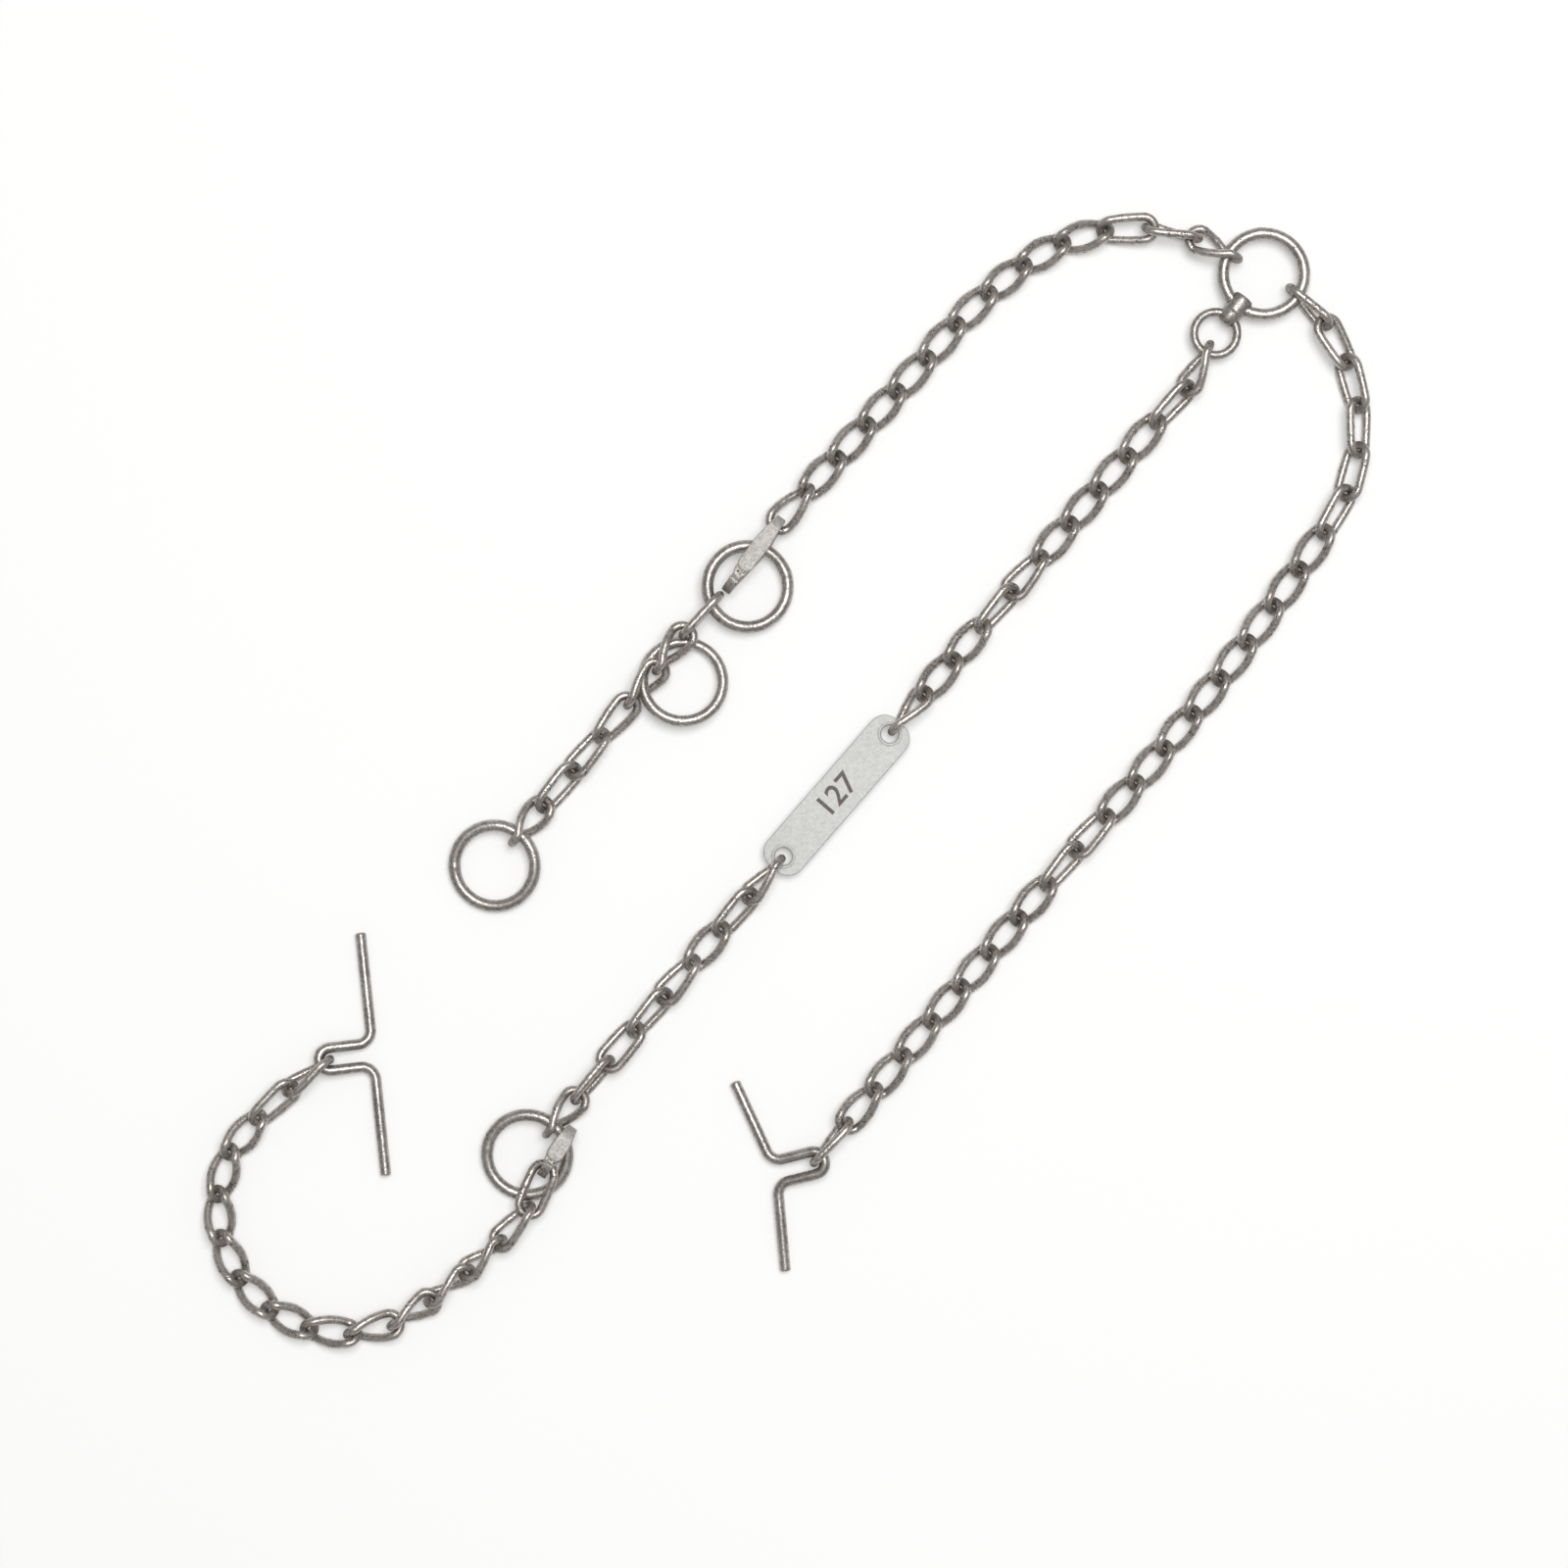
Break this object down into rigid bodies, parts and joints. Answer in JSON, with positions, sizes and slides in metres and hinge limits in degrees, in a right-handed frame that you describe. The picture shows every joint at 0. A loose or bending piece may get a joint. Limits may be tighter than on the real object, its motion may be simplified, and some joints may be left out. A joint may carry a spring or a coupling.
{
  "type": "cattle tie chain",
  "caption": "Cattle tie chain: strands of twisted welded links leave a welded ring, with lap links, rings, a blank marking plate, a swivel and toggles.",
  "frame": {"origin": "centre of the laid out chain's bounding box, on the floor it lies on", "axes": "+Z up from the floor; the chain is seen from above with +X right and +Y up in the picture"},
  "size_m": [0.6778, 0.6583, 0.0218],
  "materials": {
    "link": "worn, finely pitted bare steel",
    "ring": "worn, finely pitted bare steel",
    "toggle": "smooth satin rod",
    "strap": "hammered bare steel",
    "swivel": "turned, dull",
    "plate": "matt, blank"
  },
  "bodies": {
    "big_ring": {"big_ring": "ring"},
    "swivel_body": {"swivel_body": "swivel"},
    "swivel_eye": {"swivel_eye": "ring"},
    "chain_a_1": {"chain_a_1": "link"},
    "chain_a_2": {"chain_a_2": "link"},
    "chain_a_3": {"chain_a_3": "link"},
    "chain_a_4": {"chain_a_4": "link"},
    "chain_a_5": {"chain_a_5": "link"},
    "chain_a_6": {"chain_a_6": "link"},
    "chain_a_7": {"chain_a_7": "link"},
    "lap_link_a": {"lap_link_a": "strap"},
    "ring_3": {"ring_3": "ring"},
    "chain_d_1": {"chain_d_1": "link"},
    "chain_d_2": {"chain_d_2": "link"},
    "chain_d_3": {"chain_d_3": "link"},
    "chain_d_4": {"chain_d_4": "link"},
    "ring_2": {"ring_2": "ring"},
    "ring_1": {"ring_1": "ring"},
    "chain_b_1": {"chain_b_1": "link"},
    "chain_b_2": {"chain_b_2": "link"},
    "chain_b_3": {"chain_b_3": "link"},
    "chain_b_4": {"chain_b_4": "link"},
    "chain_b_5": {"chain_b_5": "link"},
    "chain_b_6": {"chain_b_6": "link"},
    "tag_plate": {"tag_plate": "plate"},
    "chain_e_1": {"chain_e_1": "link"},
    "chain_e_2": {"chain_e_2": "link"},
    "chain_e_3": {"chain_e_3": "link"},
    "chain_e_4": {"chain_e_4": "link"},
    "ring_4": {"ring_4": "ring"},
    "lap_link_b": {"lap_link_b": "strap"},
    "chain_f_1": {"chain_f_1": "link"},
    "chain_f_2": {"chain_f_2": "link"},
    "chain_f_3": {"chain_f_3": "link"},
    "chain_f_4": {"chain_f_4": "link"},
    "chain_f_5": {"chain_f_5": "link"},
    "chain_f_6": {"chain_f_6": "link"},
    "chain_f_7": {"chain_f_7": "link"},
    "chain_f_8": {"chain_f_8": "link"},
    "toggle_1": {"toggle_1": "toggle"},
    "chain_c_1": {"chain_c_1": "link"},
    "chain_c_2": {"chain_c_2": "link"},
    "chain_c_3": {"chain_c_3": "link"},
    "chain_c_4": {"chain_c_4": "link"},
    "chain_c_5": {"chain_c_5": "link"},
    "chain_c_6": {"chain_c_6": "link"},
    "chain_c_7": {"chain_c_7": "link"},
    "chain_c_8": {"chain_c_8": "link"},
    "chain_c_9": {"chain_c_9": "link"},
    "chain_c_10": {"chain_c_10": "link"},
    "chain_c_11": {"chain_c_11": "link"},
    "chain_c_12": {"chain_c_12": "link"},
    "toggle_2": {"toggle_2": "toggle"}
  },
  "joints": [
    {"name": "chain_a_1_hinge", "type": "hinge", "parent": "big_ring", "child": "chain_a_1", "pos_m": [0.25565, 0.30495, 0.0093], "axis": [0.5, 0.866, 0], "range_deg": [-20, 20]},
    {"name": "chain_a_2_hinge", "type": "hinge", "parent": "chain_a_1", "child": "chain_a_2", "pos_m": [0.20739, 0.32042, 0.00939], "axis": [0.0711, 0.3345, -0.9397], "range_deg": [-20, 20]},
    {"name": "chain_a_3_hinge", "type": "hinge", "parent": "chain_a_2", "child": "chain_a_3", "pos_m": [0.15656, 0.31097, 0.00722], "axis": [-0.1983, 0.6915, 0.6947], "range_deg": [-20, 20]},
    {"name": "chain_a_4_hinge", "type": "hinge", "parent": "chain_a_3", "child": "chain_a_4", "pos_m": [0.11436, 0.2806, 0.00722], "axis": [-0.4527, 0.559, 0.6947], "range_deg": [-20, 20]},
    {"name": "chain_a_5_hinge", "type": "hinge", "parent": "chain_a_4", "child": "chain_a_5", "pos_m": [0.07895, 0.24257, 0.00669], "axis": [-0.5947, 0.517, 0.6157], "range_deg": [-20, 20]},
    {"name": "chain_a_6_hinge", "type": "hinge", "parent": "chain_a_5", "child": "chain_a_6", "pos_m": [0.04412, 0.20395, 0.00669], "axis": [-0.5856, 0.5273, 0.6157], "range_deg": [-20, 20]},
    {"name": "chain_a_7_hinge", "type": "hinge", "parent": "chain_a_6", "child": "chain_a_7", "pos_m": [0.00938, 0.16538, 0.00893], "axis": [-0.5535, 0.5629, 0.6138], "range_deg": [-20, 20]},
    {"name": "lap_link_a_hinge", "type": "hinge", "parent": "chain_a_7", "child": "lap_link_a", "pos_m": [-0.00802, 0.14605, 0.00936], "axis": [-0.7422, 0.6693, 0.0349], "range_deg": [-12, 12]},
    {"name": "ring_3_hinge", "type": "hinge", "parent": "lap_link_a", "child": "ring_3", "pos_m": [-0.01667, 0.13477, 0.0088], "axis": [-0.9496, 0.2726, 0.1549], "range_deg": [-10, 5]},
    {"name": "chain_d_1_hinge", "type": "hinge", "parent": "ring_3", "child": "chain_d_1", "pos_m": [-0.04464, 0.10325, 0.01207], "axis": [-0.3707, 0.9247, 0.0872], "range_deg": [-15, 8]},
    {"name": "chain_d_2_hinge", "type": "hinge", "parent": "chain_d_1", "child": "chain_d_2", "pos_m": [-0.06073, 0.08382, 0.0121], "axis": [0, 0, 1], "range_deg": [-8, 6]},
    {"name": "chain_d_3_hinge", "type": "hinge", "parent": "chain_d_2", "child": "chain_d_3", "pos_m": [-0.09287, 0.04317, 0.00899], "axis": [-0.0826, -0.0713, 0.994], "range_deg": [-15, 15]},
    {"name": "chain_d_4_hinge", "type": "hinge", "parent": "chain_d_3", "child": "chain_d_4", "pos_m": [-0.12628, 0.00336, 0.00741], "axis": [-0.6294, 0.5396, -0.5591], "range_deg": [-20, 20]},
    {"name": "ring_1_hinge", "type": "hinge", "parent": "chain_d_4", "child": "ring_1", "pos_m": [-0.15967, -0.03644, 0.00947], "axis": [0.0393, 0.0469, 0.9981], "range_deg": [-30, 30]},
    {"name": "ring_2_hinge", "type": "hinge", "parent": "chain_d_2", "child": "ring_2", "pos_m": [-0.08388, 0.05498, 0.0098], "axis": [0.0991, -0.9816, 0.1634], "range_deg": [-8, 0]},
    {"name": "swivel_body_hinge", "type": "hinge", "parent": "big_ring", "child": "swivel_body", "pos_m": [0.26121, 0.27494, 0.0093], "axis": [-0.7771, 0.6293, 0], "range_deg": [-12, 12]},
    {"name": "swivel_eye_hinge", "type": "hinge", "parent": "swivel_body", "child": "swivel_eye", "pos_m": [0.25593, 0.26841, 0.0093], "axis": [-0.7771, 0.6293, 0], "range_deg": [-10, 10]},
    {"name": "chain_b_1_hinge", "type": "hinge", "parent": "swivel_eye", "child": "chain_b_1", "pos_m": [0.24238, 0.24756, 0.0093], "axis": [-0.891, 0.454, 0], "range_deg": [-20, 20]},
    {"name": "chain_b_2_hinge", "type": "hinge", "parent": "chain_b_1", "child": "chain_b_2", "pos_m": [0.2122, 0.20584, 0.00822], "axis": [-0.3968, 0.3515, 0.8479], "range_deg": [-20, 20]},
    {"name": "chain_b_3_hinge", "type": "hinge", "parent": "chain_b_2", "child": "chain_b_3", "pos_m": [0.17856, 0.16625, 0.00669], "axis": [-0.5992, 0.5118, 0.6157], "range_deg": [-20, 20]},
    {"name": "chain_b_4_hinge", "type": "hinge", "parent": "chain_b_3", "child": "chain_b_4", "pos_m": [0.14482, 0.12675, 0.00844], "axis": [-0.5749, 0.5402, 0.6145], "range_deg": [-20, 20]},
    {"name": "chain_b_5_hinge", "type": "hinge", "parent": "chain_b_4", "child": "chain_b_5", "pos_m": [0.11105, 0.08721, 0.00853], "axis": [-0.3526, 0.3101, 0.8829], "range_deg": [-20, 20]},
    {"name": "chain_b_6_hinge", "type": "hinge", "parent": "chain_b_5", "child": "chain_b_6", "pos_m": [0.07738, 0.04779, 0.00914], "axis": [-0.5652, 0.5515, 0.6134], "range_deg": [-20, 20]},
    {"name": "tag_plate_hinge", "type": "hinge", "parent": "chain_b_6", "child": "tag_plate", "pos_m": [0.06049, 0.02802, 0.0083], "axis": [-0.7604, 0.6494, 0], "range_deg": [-12, 3]},
    {"name": "chain_e_1_hinge", "type": "hinge", "parent": "tag_plate", "child": "chain_e_1", "pos_m": [-0.00384, -0.04604, 0.0083], "axis": [-0.7604, 0.6494, 0], "range_deg": [-20, 8]},
    {"name": "chain_e_2_hinge", "type": "hinge", "parent": "chain_e_1", "child": "chain_e_2", "pos_m": [-0.04031, -0.08875, 0.00757], "axis": [-0.5138, 0.3882, 0.7651], "range_deg": [-20, 20]},
    {"name": "chain_e_3_hinge", "type": "hinge", "parent": "chain_e_2", "child": "chain_e_3", "pos_m": [-0.07343, -0.12752, 0.00782], "axis": [-0.6905, 0.5982, -0.4067], "range_deg": [-20, 20]},
    {"name": "chain_e_4_hinge", "type": "hinge", "parent": "chain_e_3", "child": "chain_e_4", "pos_m": [-0.10654, -0.16629, 0.00927], "axis": [-0.7348, 0.6122, -0.2921], "range_deg": [-20, 20]},
    {"name": "ring_4_hinge", "type": "hinge", "parent": "chain_e_4", "child": "ring_4", "pos_m": [-0.13526, -0.20025, 0.00923], "axis": [-0.7416, 0.6704, 0.0261], "range_deg": [-8, 8]},
    {"name": "lap_link_b_hinge", "type": "hinge", "parent": "ring_4", "child": "lap_link_b", "pos_m": [-0.12927, -0.20876, 0.00869], "axis": [-0.3797, 0.922, 0.0757], "range_deg": [0, 4]},
    {"name": "chain_f_1_hinge", "type": "hinge", "parent": "lap_link_b", "child": "chain_f_1", "pos_m": [-0.13918, -0.22288, 0.01103], "axis": [-0.9205, 0.3907, 0], "range_deg": [0, 10]},
    {"name": "chain_f_2_hinge", "type": "hinge", "parent": "chain_f_1", "child": "chain_f_2", "pos_m": [-0.15137, -0.2516, 0.01103], "axis": [-0.9155, 0.3886, 0.1045], "range_deg": [-10, 10]},
    {"name": "chain_f_3_hinge", "type": "hinge", "parent": "chain_f_2", "child": "chain_f_3", "pos_m": [-0.18801, -0.28721, 0.00941], "axis": [-0.5469, 0.582, -0.6018], "range_deg": [-20, 20]},
    {"name": "chain_f_4_hinge", "type": "hinge", "parent": "chain_f_3", "child": "chain_f_4", "pos_m": [-0.2298, -0.31641, 0.00928], "axis": [-0.0251, 0.0461, -0.9986], "range_deg": [-20, 20]},
    {"name": "chain_f_5_hinge", "type": "hinge", "parent": "chain_f_4", "child": "chain_f_5", "pos_m": [-0.2803, -0.31807, 0.00723], "axis": [0.0389, 0.7313, 0.681], "range_deg": [-20, 20]},
    {"name": "chain_f_6_hinge", "type": "hinge", "parent": "chain_f_5", "child": "chain_f_6", "pos_m": [-0.32008, -0.28679, 0.00739], "axis": [0.4997, 0.4826, 0.7193], "range_deg": [-20, 20]},
    {"name": "chain_f_7_hinge", "type": "hinge", "parent": "chain_f_6", "child": "chain_f_7", "pos_m": [-0.33045, -0.23727, 0.00739], "axis": [0.693, 0.0485, 0.7193], "range_deg": [-20, 20]},
    {"name": "chain_f_8_hinge", "type": "hinge", "parent": "chain_f_7", "child": "chain_f_8", "pos_m": [-0.305, -0.19388, 0.00775], "axis": [0.5264, -0.4534, 0.7193], "range_deg": [-20, 20]},
    {"name": "toggle_1_hinge", "type": "hinge", "parent": "chain_f_8", "child": "toggle_1", "pos_m": [-0.26528, -0.16204, 0.00931], "axis": [-0.0034, -0.0024, 1], "range_deg": [-25, 25]},
    {"name": "chain_c_1_hinge", "type": "hinge", "parent": "big_ring", "child": "chain_c_1", "pos_m": [0.29635, 0.28145, 0.0093], "axis": [-0.5, -0.866, 0], "range_deg": [-20, 20]},
    {"name": "chain_c_2_hinge", "type": "hinge", "parent": "chain_c_1", "child": "chain_c_2", "pos_m": [0.32579, 0.24007, 0.00733], "axis": [-0.6197, -0.413, 0.6674], "range_deg": [-20, 20]},
    {"name": "chain_c_3_hinge", "type": "hinge", "parent": "chain_c_2", "child": "chain_c_3", "pos_m": [0.3311, 0.18857, 0.00726], "axis": [-0.7071, -0.0109, 0.707], "range_deg": [-20, 20]},
    {"name": "chain_c_4_hinge", "type": "hinge", "parent": "chain_c_3", "child": "chain_c_4", "pos_m": [0.30994, 0.14132, 0.00756], "axis": [-0.578, 0.3371, 0.7431], "range_deg": [-20, 20]},
    {"name": "chain_c_5_hinge", "type": "hinge", "parent": "chain_c_4", "child": "chain_c_5", "pos_m": [0.28029, 0.09861, 0.00669], "axis": [-0.6455, 0.452, 0.6157], "range_deg": [-20, 20]},
    {"name": "chain_c_6_hinge", "type": "hinge", "parent": "chain_c_5", "child": "chain_c_6", "pos_m": [0.24928, 0.05688, 0.00669], "axis": [-0.6293, 0.4742, 0.6157], "range_deg": [-20, 20]},
    {"name": "chain_c_7_hinge", "type": "hinge", "parent": "chain_c_6", "child": "chain_c_7", "pos_m": [0.21683, 0.01624, 0.00669], "axis": [-0.6124, 0.4959, 0.6157], "range_deg": [-20, 20]},
    {"name": "chain_c_8_hinge", "type": "hinge", "parent": "chain_c_7", "child": "chain_c_8", "pos_m": [0.183, -0.02322, 0.00789], "axis": [-0.6628, 0.5834, 0.4694], "range_deg": [-20, 20]},
    {"name": "chain_c_9_hinge", "type": "hinge", "parent": "chain_c_8", "child": "chain_c_9", "pos_m": [0.14893, -0.06249, 0.00817], "axis": [-0.4227, 0.3662, 0.829], "range_deg": [-20, 20]},
    {"name": "chain_c_10_hinge", "type": "hinge", "parent": "chain_c_9", "child": "chain_c_10", "pos_m": [0.11553, -0.10229, 0.00669], "axis": [-0.6037, 0.5065, 0.6157], "range_deg": [-20, 20]},
    {"name": "chain_c_11_hinge", "type": "hinge", "parent": "chain_c_10", "child": "chain_c_11", "pos_m": [0.08211, -0.14212, 0.00747], "axis": [-0.5929, 0.5193, 0.6154], "range_deg": [-20, 20]},
    {"name": "chain_c_12_hinge", "type": "hinge", "parent": "chain_c_11", "child": "chain_c_12", "pos_m": [0.04869, -0.18195, 0.00831], "axis": [-0.6957, 0.5921, 0.4067], "range_deg": [-20, 20]},
    {"name": "toggle_2_hinge", "type": "hinge", "parent": "chain_c_12", "child": "toggle_2", "pos_m": [0.01528, -0.22176, 0.00945], "axis": [0, 0, -1], "range_deg": [-30, 30]}
  ]
}
